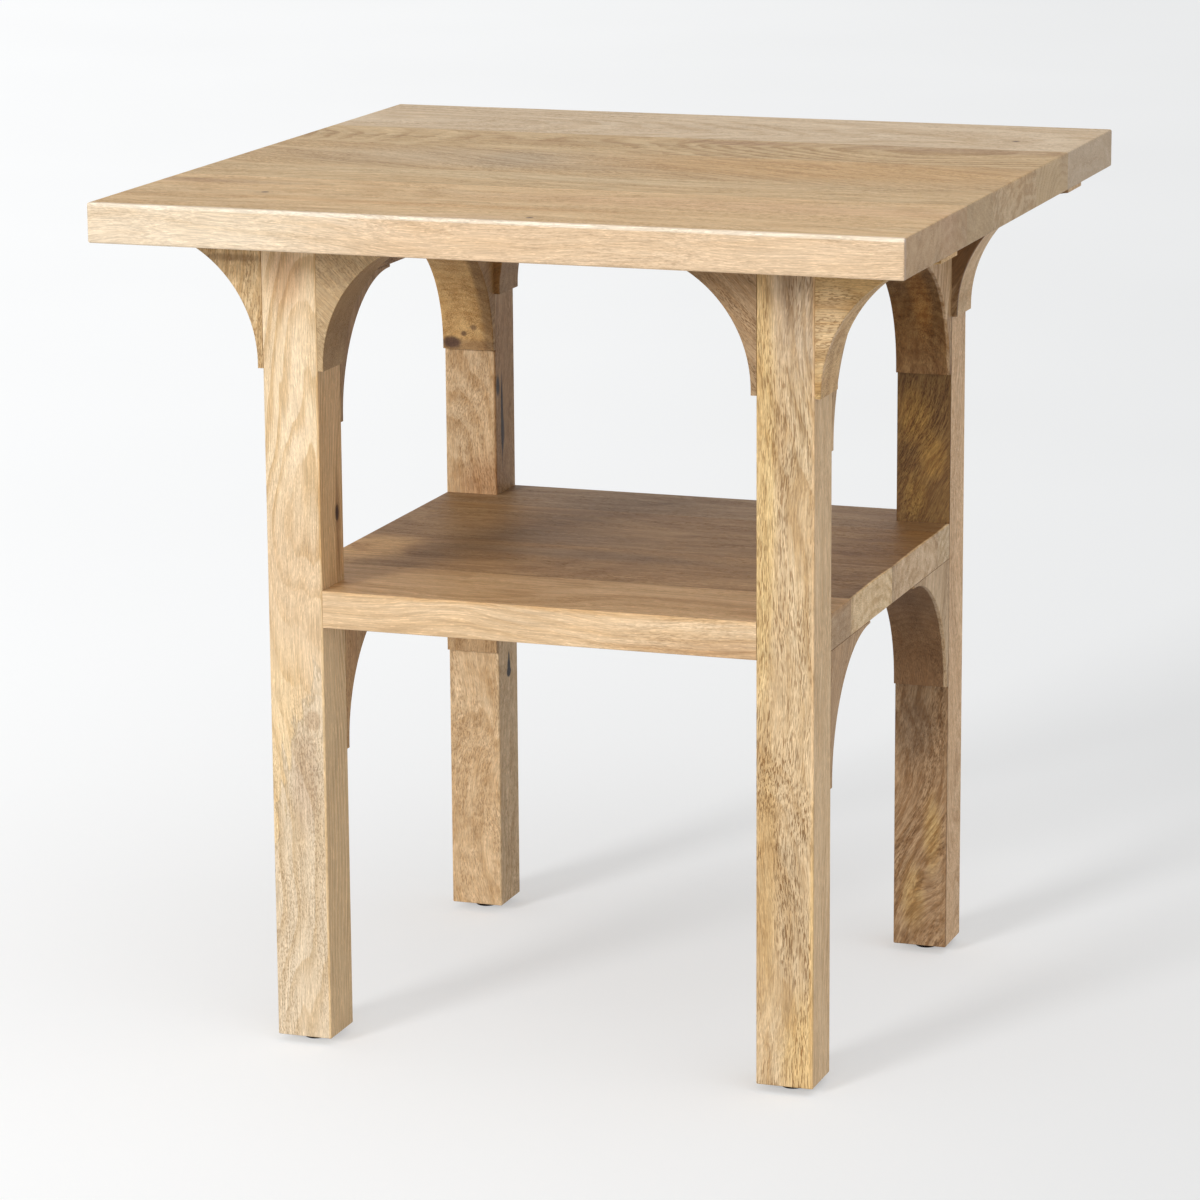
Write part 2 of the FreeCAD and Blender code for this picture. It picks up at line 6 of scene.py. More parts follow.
# Square accent table of pale solid wood. Front is at -Y, right at +X, and +Z is up.
# Lengths in the scene are metres. Lengths inside the wood's pattern are millimetres.
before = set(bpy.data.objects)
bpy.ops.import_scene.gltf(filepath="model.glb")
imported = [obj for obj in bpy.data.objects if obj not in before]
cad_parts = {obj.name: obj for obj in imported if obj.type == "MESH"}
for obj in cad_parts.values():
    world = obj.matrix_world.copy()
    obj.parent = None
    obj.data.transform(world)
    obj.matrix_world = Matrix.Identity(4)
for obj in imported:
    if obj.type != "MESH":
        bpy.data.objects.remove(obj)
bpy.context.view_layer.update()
MM = 0.001

# A mark is a noise with a size along and across the grain. A knot is round. A patch is an egg-shaped
# zone of another tone, and a calm zone keeps a share of the grain's contrast and a share of the pores.
Mark = namedtuple("Mark", "size detail roughness")
Knot = namedtuple("Knot", "spot radius")
Patch = namedtuple("Patch", "spot reach tone strength softness")
Calm = namedtuple("Calm", "spot reach grain_share pore_share")

BEND = Mark((130.0, 64.0), 1.0, 0.4)
STREAKS = Mark((340.0, 11.0), 3.0, 0.55)
CLOUDS = Mark((170.0, 34.0), 3.0, 0.55)
FIGURE = Mark((95.0, 5.5), 3.0, 0.6)
CURL = Mark((7.0, 8.0), 2.0, 0.6)
RAGGED = Mark((24.0, 5.0), 3.0, 0.6)
CROWD = Mark((90.0, 14.0), 2.0, 0.5)
PORES = Mark((4.2, 0.75), 1.0, 0.6)
FLECKS = Mark((5.5, 0.75), 1.0, 0.6)
FIBRES = Mark((32.0, 0.80), 3.0, 0.7)

# The height of each noise at which its mark begins to show, and at which it shows in full
GRAIN_SHOWS = (0.30, 0.70)
CLOUD_SHOWS = (0.48, 0.66)
CROWD_SHOWS = (0.38, 0.62)
PORE_SHOWS = (0.52, 0.61)
FLECK_SHOWS = (0.55, 0.70)
NOISE_RANGE = (0.20, 0.80)

# Rings. Late wood deepens through a ring and stops short at its end, and clouds hold it back.
RING_WOBBLE, RING_BANDS = 1.0, 0.9
LATE_RISES, LATE_STOPS, LATE_MIDDLE = (0.30, 0.92), (0.93, 1.0), 0.22
LATE_SHOWS, LATE_LEAST = (0.40, 0.60), 0.25

# Outlines of patches, calm zones and knots, as shares of the way from the spot to the outline
OUTLINE_RAG = 0.55
CALM_EDGE = (0.70, 1.20)
HARD_EDGE, RIM_WIDTH, RIM_SHADE = 0.12, 0.03, 0.74
KNOT_RAG, KNOT_RIPPLE = 0.5, 7.0
KNOT_REACH, KNOT_PUSH = 7.0, 0.70
KNOT_EDGE, KNOT_STRENGTH = (0.70, 1.20), 0.85
HALO_EDGE, HALO_STRENGTH = (1.0, 4.5), 0.40

# Tints and finish
WHITE = (1.0, 1.0, 1.0, 1.0)
RED_SHIFT, BLUE_SHIFT = 0.70, 1.50
CLOUD_TINT = (0.86, 0.89, 0.93, 1.0)
PORE_TINT = (0.46, 0.37, 0.28, 1.0)
KNOT_TONE = (70, 46, 32)
FLECK_SHADE, FIBRE_SHADE = 0.19, 0.19
END_FACING = (0.50, 0.90)
CROWD_LEAST = 0.30
WOOD_ROUGHNESS, PORE_ROUGHNESS, WOOD_SPECULAR = (0.46, 0.58), 0.12, 0.25
FIBRE_HEIGHT = 0.35
BUMP_DEPTH = 0.12 * MM

# Each piece reads the noise at a place of its own, this many marks on for each step of its seed
SEED_STEP = 7.31

MIDDLE = Vector((0.5, 0.5, 0.5))
ACROSS = Vector((0.0, 1.0, 1.0))


def srgb(red, green, blue):
    """A tone given in 0 to 255, as the linear colour that a shader takes."""
    def linear(value):
        share = value / 255
        return share / 12.92 if share <= 0.04045 else ((share + 0.055) / 1.055) ** 2.4
    return (linear(red), linear(green), linear(blue), 1.0)


def shifted(tone, factor):
    """A tone made lighter or darker, with its blue moved the furthest, as heartwood darkens."""
    red, green, blue = tone
    return srgb(red * factor ** RED_SHIFT, green * factor, blue * factor ** BLUE_SHIFT)


class Graph:
    """Short calls that add shader nodes. An input that is a socket is linked, and any other is set."""

    def __init__(self, owner):
        owner.use_nodes = True
        self.owner, self.tree = owner, owner.node_tree
        self.tree.nodes.clear()

    def node(self, kind, inputs, **settings):
        node = self.tree.nodes.new(kind)
        for name, value in settings.items():
            setattr(node, name, value)
        for key, value in inputs.items():
            if isinstance(value, bpy.types.NodeSocket):
                self.tree.links.new(value, node.inputs[key])
            else:
                node.inputs[key].default_value = value
        return node

    def add(self, kind, inputs, output=0, **settings):
        """Add a node, and give one of its outputs."""
        return self.node(kind, inputs, **settings).outputs[output]

    def math(self, operation, *values):
        return self.add("ShaderNodeMath", dict(enumerate(values)), operation=operation)

    def vector(self, operation, *values):
        return self.add("ShaderNodeVectorMath", dict(enumerate(values)), operation=operation)

    def length(self, vector):
        return self.add("ShaderNodeVectorMath", {0: vector}, "Value", operation="LENGTH")

    def dot(self, one, other):
        return self.add("ShaderNodeVectorMath", {0: one, 1: other}, "Value", operation="DOT_PRODUCT")

    def scaled(self, vector, factor):
        return self.add("ShaderNodeVectorMath", {0: vector, "Scale": factor}, operation="SCALE")

    def object_place(self, unit):
        """The place on the object, counted in one unit."""
        return self.scaled(self.add("ShaderNodeTexCoord", {}, "Object"), 1 / unit)

    def noise(self, place, detail, roughness=0.5, output=0):
        """Noise whose marks are one unit of the place apart."""
        inputs = {"Vector": place, "Scale": 1.0, "Detail": detail, "Roughness": roughness}
        return self.add("ShaderNodeTexNoise", inputs, output)

    def step(self, value, limits, start=0.0, end=1.0):
        """A soft step from start to end as the value goes from the low to the high limit."""
        low, high = limits
        inputs = {"Value": value, "From Min": low, "From Max": high, "To Min": start, "To Max": end}
        return self.add("ShaderNodeMapRange", inputs, interpolation_type="SMOOTHSTEP")

    def mix(self, factor, one, other, blend="MIX"):
        inputs = {0: factor, 6: one, 7: other}
        return self.add("ShaderNodeMix", inputs, 2, data_type="RGBA", blend_type=blend)

    def shade(self, colour, factor):
        """The colour made lighter or darker by a factor near 1."""
        grey = self.add("ShaderNodeCombineColor", {0: factor, 1: factor, 2: factor})
        return self.mix(1.0, colour, grey, "MULTIPLY")

    def finish(self, inputs, height):
        """Join the surface shader and its bump to the output, and give the material."""
        bump = self.add("ShaderNodeBump", {"Distance": BUMP_DEPTH, "Height": height})
        shader = self.add("ShaderNodeBsdfPrincipled", {**inputs, "Normal": bump})
        self.node("ShaderNodeOutputMaterial", {"Surface": shader})
        return self.owner


# A piece of wood, where its own entry says nothing else.
# The tone is in 0 to 255. It gets paler and deeper by the spread, as the grain goes.
# The grain runs along X, turned by the heading towards Y and lifted by the slant, in degrees.
# The pith is given across the grain from the middle of the piece. It leans by the tilt, and its depth
# swings once in each wave, which makes the eyes and the arches of a flat-sawn face.
# Bands, lines, streaks, figure and curl are the weights of these marks in the tone.
PLAIN_WOOD = {
    "tone": (196, 166, 128),
    "spread": 0.11,
    "cloudy": 0.35,
    "heading": 0.0,
    "slant": 0.0,
    "pith": (0.0, -70.0),
    "tilt": (0.02, 0.0),
    "swing": 6.0,
    "wave": 420.0,
    "phase": 0.0,
    "ring": 7.0,
    "bands": 0.35,
    "lines": 0.50,
    "streaks": 0.50,
    "figure": 0.60,
    "figured": FIGURE.size,
    "curl": 0.12,
    "bend": 10.0,
    "pores": 0.52,
    "pore": PORES.size,
    "end_tone": (0.77, 0.78, 0.84),
    "seed": 0.0,
    "knots": (),
    "patches": (),
    "calm": (),
}


class Wood(Graph):
    """Solid wood cut from one log: rings about a pith, bending grain, pores, knots and stains.

    The pattern is solid, so that end grain, faces and hollow curves of one piece belong together.
    """

    def __init__(self, name, centre, entry):
        super().__init__(bpy.data.materials.new(name))
        self.entry = entry
        self.heading, self.slant = math.radians(entry["heading"]), math.radians(entry["slant"])
        self.seed = entry["seed"] * Vector((SEED_STEP, SEED_STEP, SEED_STEP))
        self.place = self.object_place(MM)
        self.grain = self.straight_grain(centre)
        self.grain = self.bent_grain()
        self.streaks, self.clouds = self.mark(STREAKS), self.mark(CLOUDS)
        self.ragged, self.fibres = self.mark(RAGGED), self.mark(FIBRES)
        self.rag = self.math("MULTIPLY_ADD", self.ragged, OUTLINE_RAG, -OUTLINE_RAG / 2)
        clear, self.open_pores = self.calm_shares()
        self.deepness = self.math("MULTIPLY_ADD", self.contrast(), clear, 0.5)

    def mark(self, mark, output=0):
        """The noise of one kind of mark, stretched along the grain."""
        along, across = mark.size
        counted = self.vector("MULTIPLY", self.grain, Vector((1 / along, 1 / across, 1 / across)))
        return self.noise(self.vector("ADD", counted, self.seed), mark.detail, mark.roughness, output)

    def away_from(self, spot):
        return self.vector("SUBTRACT", self.place, Vector(spot))

    def straight_grain(self, centre):
        """The place counted from the middle of the piece, with X along grain that flows round knots."""
        flow = self.place
        for knot in self.entry["knots"]:
            away = self.away_from(knot.spot)
            near = self.step(self.length(away), (0.0, knot.radius * KNOT_REACH), KNOT_PUSH, 0.0)
            flow = self.vector("SUBTRACT", flow, self.scaled(away, near))
        inputs = {"Vector": flow, "Location": centre, "Rotation": (0.0, -self.slant, self.heading)}
        return self.add("ShaderNodeMapping", inputs, vector_type="TEXTURE")

    def bent_grain(self):
        """The grain's place with long gentle bends across the grain."""
        bend = self.vector("SUBTRACT", self.mark(BEND, "Color"), MIDDLE)
        bend = self.vector("MULTIPLY", bend, 2 * self.entry["bend"] * ACROSS)
        return self.vector("ADD", self.grain, bend)

    def way_out(self, zone):
        """The distance from a zone's spot, as a share of the way to its ragged outline."""
        away = self.vector("DIVIDE", self.away_from(zone.spot), Vector(zone.reach))
        return self.math("ADD", self.length(away), self.rag)

    def calm_shares(self):
        """The shares of the grain's contrast and of the pores that the calm zones leave."""
        clear, pores = 1.0, 1.0
        for zone in self.entry["calm"]:
            way = self.way_out(zone)
            clear = self.math("MULTIPLY", clear, self.step(way, CALM_EDGE, zone.grain_share, 1.0))
            pores = self.math("MULTIPLY", pores, self.step(way, CALM_EDGE, zone.pore_share, 1.0))
        return clear, pores

    def rings(self):
        """The rings counted from the pith, which leans and swings along the grain."""
        entry = self.entry
        along, side, depth = (self.add("ShaderNodeSeparateXYZ", {0: self.grain}, axis) for axis in range(3))
        turn = self.math("MULTIPLY_ADD", along, math.tau / entry["wave"], entry["phase"])
        swing = self.math("MULTIPLY", self.math("SINE", turn), entry["swing"])
        pith_side = self.math("MULTIPLY_ADD", along, entry["tilt"][0], entry["pith"][0])
        pith_depth = self.math("MULTIPLY_ADD", along, entry["tilt"][1], entry["pith"][1])
        aside = self.math("SUBTRACT", side, pith_side)
        below = self.math("ADD", self.math("SUBTRACT", depth, pith_depth), swing)
        from_pith = self.length(self.add("ShaderNodeCombineXYZ", {1: aside, 2: below}))
        rings = self.math("DIVIDE", from_pith, entry["ring"])
        return self.math("ADD", rings, self.math("MULTIPLY", self.streaks, RING_WOBBLE))

    def late_wood(self, rings):
        """The dark line that ends each ring."""
        season = self.math("FRACT", rings)
        late = self.math("MULTIPLY", self.step(season, LATE_RISES), self.step(season, LATE_STOPS, 1.0, 0.0))
        return self.math("MULTIPLY", late, self.step(self.clouds, LATE_SHOWS, LATE_LEAST, 1.0))

    def weighed(self, value, name, middle=0.5):
        """A mark's part in the tone: its distance from its middle, times the piece's own weight."""
        weight = self.entry[name]
        return self.math("MULTIPLY_ADD", value, weight, -middle * weight)

    def contrast(self):
        """How far the rings and the streaks take the tone from its middle towards deep."""
        rings = self.rings()
        inputs = {"W": rings, "Scale": RING_BANDS, "Detail": 2.0, "Roughness": 0.5}
        bands = self.add("ShaderNodeTexNoise", inputs, noise_dimensions="1D")
        total = self.weighed(self.step(bands, GRAIN_SHOWS), "bands")
        total = self.math("ADD", total, self.weighed(self.late_wood(rings), "lines", LATE_MIDDLE))
        figure = self.mark(FIGURE._replace(size=self.entry["figured"]))
        for noise, name in ((self.streaks, "streaks"), (figure, "figure"), (self.mark(CURL), "curl")):
            total = self.math("ADD", total, self.weighed(self.step(noise, GRAIN_SHOWS), name))
        return total

    def grained(self, tone):
        """A tone that goes from pale to deep with the grain."""
        spread = self.entry["spread"]
        return self.mix(self.deepness, shifted(tone, 1 + spread), shifted(tone, 1 - spread))

    def clouded(self, colour):
        cloudy = self.step(self.clouds, CLOUD_SHOWS, 0.0, self.entry["cloudy"])
        return self.mix(cloudy, colour, CLOUD_TINT, "MULTIPLY")

    def patched(self, colour):
        """Stains, zones of another tone, and some painted shade and painted highlights, with a dark rim
        where their edge is hard.
        """
        for patch in self.entry["patches"]:
            way = self.way_out(patch)
            edge = (1.0 - patch.softness, 1.0 + patch.softness)
            inside = self.step(way, edge, patch.strength, 0.0)
            colour = self.mix(inside, colour, self.grained(patch.tone))
            if patch.softness < HARD_EDGE:
                rim = self.math("ABSOLUTE", self.math("SUBTRACT", way, 1.0))
                colour = self.shade(colour, self.step(rim, (0.0, RIM_WIDTH), RIM_SHADE, 1.0))
        return colour

    def knotted(self, colour):
        """Knots, with dark rings of their own."""
        for knot in self.entry["knots"]:
            way = self.math("DIVIDE", self.length(self.away_from(knot.spot)), knot.radius)
            way = self.math("ADD", way, self.math("MULTIPLY_ADD", self.ragged, KNOT_RAG, -KNOT_RAG / 2))
            ripple = self.math("SINE", self.math("MULTIPLY", way, KNOT_RIPPLE))
            ripple = self.math("MULTIPLY_ADD", ripple, 0.5, 0.5)
            halo = self.math("MULTIPLY", ripple, self.step(way, HALO_EDGE, HALO_STRENGTH, 0.0))
            colour = self.mix(halo, colour, PORE_TINT, "MULTIPLY")
            colour = self.mix(self.step(way, KNOT_EDGE, KNOT_STRENGTH, 0.0), colour, srgb(*KNOT_TONE))
        return colour

    def end_grained(self, colour):
        """The same rings, in a tint of their own, where the wood is cut across."""
        level = math.cos(self.slant)
        along_x, along_y = level * math.cos(self.heading), level * math.sin(self.heading)
        axis = Vector((along_x, along_y, math.sin(self.slant)))
        normal = self.add("ShaderNodeTexCoord", {}, "Normal")
        facing = self.math("ABSOLUTE", self.dot(normal, axis))
        tint = self.mix(self.step(facing, END_FACING), WHITE, (*self.entry["end_tone"], 1.0))
        return self.mix(1.0, colour, tint, "MULTIPLY")

    def pores(self):
        """Open pores, which crowd in some streaks and thin out in the calm zones."""
        crowd = self.step(self.mark(CROWD), CROWD_SHOWS, CROWD_LEAST, 1.0)
        pores = self.step(self.mark(PORES._replace(size=self.entry["pore"])), PORE_SHOWS)
        return self.math("MULTIPLY", self.math("MULTIPLY", pores, crowd), self.open_pores)

    def fibred(self, colour, pores):
        """The colour with its dark pores, pale flecks and fine fibres."""
        colour = self.mix(self.math("MULTIPLY", pores, self.entry["pores"]), colour, PORE_TINT, "MULTIPLY")
        flecks = self.step(self.mark(FLECKS), FLECK_SHOWS)
        colour = self.shade(colour, self.math("MULTIPLY_ADD", flecks, FLECK_SHADE, 1.0))
        return self.shade(colour, self.step(self.fibres, GRAIN_SHOWS, 1.0 + FIBRE_SHADE, 1.0 - FIBRE_SHADE))


def wood_material(name, centre, **changes):
    """The material of one piece of wood. What its entry leaves out is as in PLAIN_WOOD."""
    wood = Wood(name, centre, {**PLAIN_WOOD, **changes})
    colour = wood.clouded(wood.grained(wood.entry["tone"]))
    colour = wood.end_grained(wood.knotted(wood.patched(colour)))
    pores = wood.pores()
    roughness = wood.math("ADD", wood.step(wood.fibres, NOISE_RANGE, *WOOD_ROUGHNESS),
                          wood.math("MULTIPLY", pores, PORE_ROUGHNESS))
    height = wood.math("SUBTRACT", wood.math("MULTIPLY", wood.fibres, FIBRE_HEIGHT), pores)
    return wood.finish({"Base Color": wood.fibred(colour, pores), "Roughness": roughness,
                        "Specular IOR Level": WOOD_SPECULAR}, height)


# Heights of the two upper faces, and the planes of the edges and of the legs' faces, for spots on them
TOP, SHELF = 600.0, 326.0
FRONT, RIGHT = -280.0, 280.0
LEG_FRONT, LEG_BACK = -190.0, 150.0
LEFT_SIDE, RIGHT_SIDE = -155.0, 195.0

# Heights near the middle of the edge of the top and of the shelf
TOP_EDGE, SHELF_EDGE = 586.0, 313.0

# The planes of the front faces of the back brackets and of the right faces of the right ones
BRACKET_BACK, BRACKET_RIGHT = 151.0, 194.0

# Ways of the grain: two headings, and the slant of the legs
ALONG_X, ALONG_Y = 0.0, 90.0
UPRIGHT = 90.0

# The right end of the top, where the rings of most boards hardly show, and those of one show well
TOP_END = Calm((RIGHT, 0.0, TOP_EDGE), (4.0, 600.0, 60.0), 0.55, 0.6)
TOP_END_RINGED = TOP_END._replace(grain_share=2.0)
TOP_END_FAINT = TOP_END._replace(grain_share=0.35)

TOP_BOARDS = {
    "top_board_1": dict(
        tone=(205, 170, 123), spread=0.065, cloudy=0.5, seed=1.0, pith=(30.0, -90.0), swing=14.0,
        wave=520.0, phase=1.0, ring=9.0, bend=12.0, end_tone=(0.73, 0.72, 0.79),
        knots=(Knot((-186.0, -200.0, TOP), 2.6), Knot((25.0, -262.0, TOP), 2.4)),
        patches=(Patch((-262.0, -158.0, TOP), (75.0, 9.0, 30.0), (166, 130, 92), 0.55, 0.5),
                 Patch((-40.0, -225.0, TOP), (150.0, 7.0, 30.0), (192, 147, 94), 0.5, 0.6),
                 Patch((160.0, -175.0, TOP), (190.0, 22.0, 30.0), (205, 165, 122), 0.5, 0.6),
                 Patch((0.0, FRONT, TOP_EDGE), (600.0, 4.0, 60.0), (207, 179, 146), 0.9, 0.3),
                 Patch((-20.0, FRONT, 585.0), (50.0, 20.0, 26.0), (209, 179, 144), 0.6, 0.5),
                 Patch((-240.0, FRONT, 590.0), (130.0, 5.0, 30.0), (222, 204, 177), 0.7, 0.5),
                 # A pale thin line along the front arris of the top: a painted highlight.
                 Patch((0.0, FRONT, TOP - 1.0), (600.0, 2.0, 1.6), (232, 218, 196), 0.7, 0.4)),
        calm=(Calm((0.0, FRONT, TOP_EDGE), (600.0, 5.0, 60.0), 0.45, 0.50),)),
    "top_board_2": dict(
        tone=(195, 163, 118), spread=0.07, seed=2.0, pith=(-60.0, -160.0), ring=4.0, bend=9.0,
        calm=(TOP_END,),
        patches=(Patch((-60.0, -80.0, TOP), (200.0, 18.0, 30.0), (200, 174, 134), 0.5, 0.6),)),
    "top_board_3": dict(
        heading=-18.0, tone=(189, 156, 111), spread=0.08, cloudy=0.5, seed=3.0, pith=(120.0, -110.0),
        swing=16.0, wave=300.0, ring=6.0, bend=16.0, end_tone=(0.90, 0.94, 1.08),
        calm=(TOP_END_RINGED,),
        patches=(Patch((-110.0, 0.0, TOP), (120.0, 44.0, 20.0), (180, 155, 122), 0.6, 0.6),
                 Patch((-82.0, 4.0, TOP), (26.0, 38.0, 20.0), (166, 143, 112), 0.5, 0.6),
                 Patch((140.0, 10.0, TOP), (150.0, 50.0, 20.0), (189, 146, 90), 0.6, 0.45))),
    "top_board_4": dict(
        tone=(186, 154, 109), spread=0.12, seed=4.0, pith=(7.0, -62.0), tilt=(0.08, 0.0), swing=36.0,
        wave=584.0, phase=2.56, ring=6.5, bands=0.4, lines=1.0, streaks=0.3, figure=0.3, bend=13.0,
        end_tone=(1.00, 1.05, 1.18),
        calm=(TOP_END_FAINT,),
        patches=(Patch((45.0, 130.0, TOP), (40.0, 12.0, 20.0), (152, 114, 79), 0.5, 0.5),
                 Patch((200.0, 135.0, TOP), (90.0, 16.0, 20.0), (159, 127, 95), 0.5, 0.6))),
    "top_board_5": dict(
        tone=(200, 175, 142), spread=0.07, cloudy=0.15, seed=5.0, pith=(-20.0, -70.0), tilt=(0.0, -0.16),
        ring=8.0, bands=0.5, lines=0.7, streaks=0.3, figure=0.3, bend=12.0, end_tone=(0.79, 0.79, 0.82),
        calm=(TOP_END,),
        knots=(Knot((230.0, 193.0, TOP), 2.6),)),
}

SHELF_BOARDS = {
    "shelf_board_1": dict(
        tone=(206, 175, 136), spread=0.09, seed=11.0, pith=(20.0, -120.0), ring=6.0, pores=0.3,
        end_tone=(0.65, 0.60, 0.56),
        patches=(Patch((150.0, LEG_FRONT, 302.0), (80.0, 8.0, 9.0), (168, 128, 86), 0.6, 0.6),
                 Patch((0.0, -140.0, SHELF), (400.0, 60.0, 4.0), (200, 161, 113), 0.95, 0.3)),
        calm=(Calm((-60.0, LEG_FRONT, SHELF_EDGE), (130.0, 6.0, 30.0), 0.55, 0.3),)),
    "shelf_board_2": dict(
        tone=(160, 122, 77), seed=12.0, pith=(0.0, -80.0), swing=12.0, ring=8.0,
        patches=(Patch((-20.0, -28.0, SHELF), (90.0, 14.0, 20.0), (131, 104, 74), 0.6, 0.6),
                 Patch((-176.0, -60.0, SHELF), (30.0, 50.0, 12.0), (212, 167, 108), 0.8, 0.5),
                 # A paler strip along the front of this board: painted light that softens the edge of the
                 # shade under the top.
                 Patch((0.0, -95.0, SHELF), (400.0, 22.0, 8.0), (182, 143, 97), 0.6, 0.6),
                 # Darker on the shelf's top near its right end: painted shade under the top.
                 Patch((RIGHT_SIDE, -50.0, SHELF), (52.0, 90.0, 4.0), (126, 92, 55), 0.7, 0.5),
                 Patch((RIGHT_SIDE, -50.0, SHELF_EDGE), (2.0, 60.0, 30.0), (244, 208, 153), 0.95, 0.3))),
    "shelf_board_3": dict(
        tone=(156, 120, 77), seed=13.0, pith=(10.0, -40.0), swing=14.0, ring=9.0,
        patches=(Patch((-60.0, 20.0, SHELF), (60.0, 22.0, 20.0), (139, 111, 81), 0.5, 0.6),
                 # Darker on the shelf's top near its right end: painted shade under the top.
                 Patch((RIGHT_SIDE, 50.0, SHELF), (60.0, 120.0, 4.0), (124, 86, 43), 0.8, 0.5),
                 Patch((RIGHT_SIDE, 60.0, SHELF_EDGE), (2.0, 64.0, 30.0), (225, 189, 142), 0.95, 0.3))),
    "shelf_board_4": dict(
        tone=(153, 122, 86), seed=14.0, ring=7.0,
        # Darker on the shelf's top near its right end: painted shade under the top.
        patches=(Patch((RIGHT_SIDE, 130.0, SHELF), (60.0, 60.0, 4.0), (121, 86, 48), 0.7, 0.5),
                 Patch((RIGHT_SIDE, 150.0, SHELF_EDGE), (2.0, 40.0, 30.0), (220, 188, 142), 0.95, 0.3))),
}

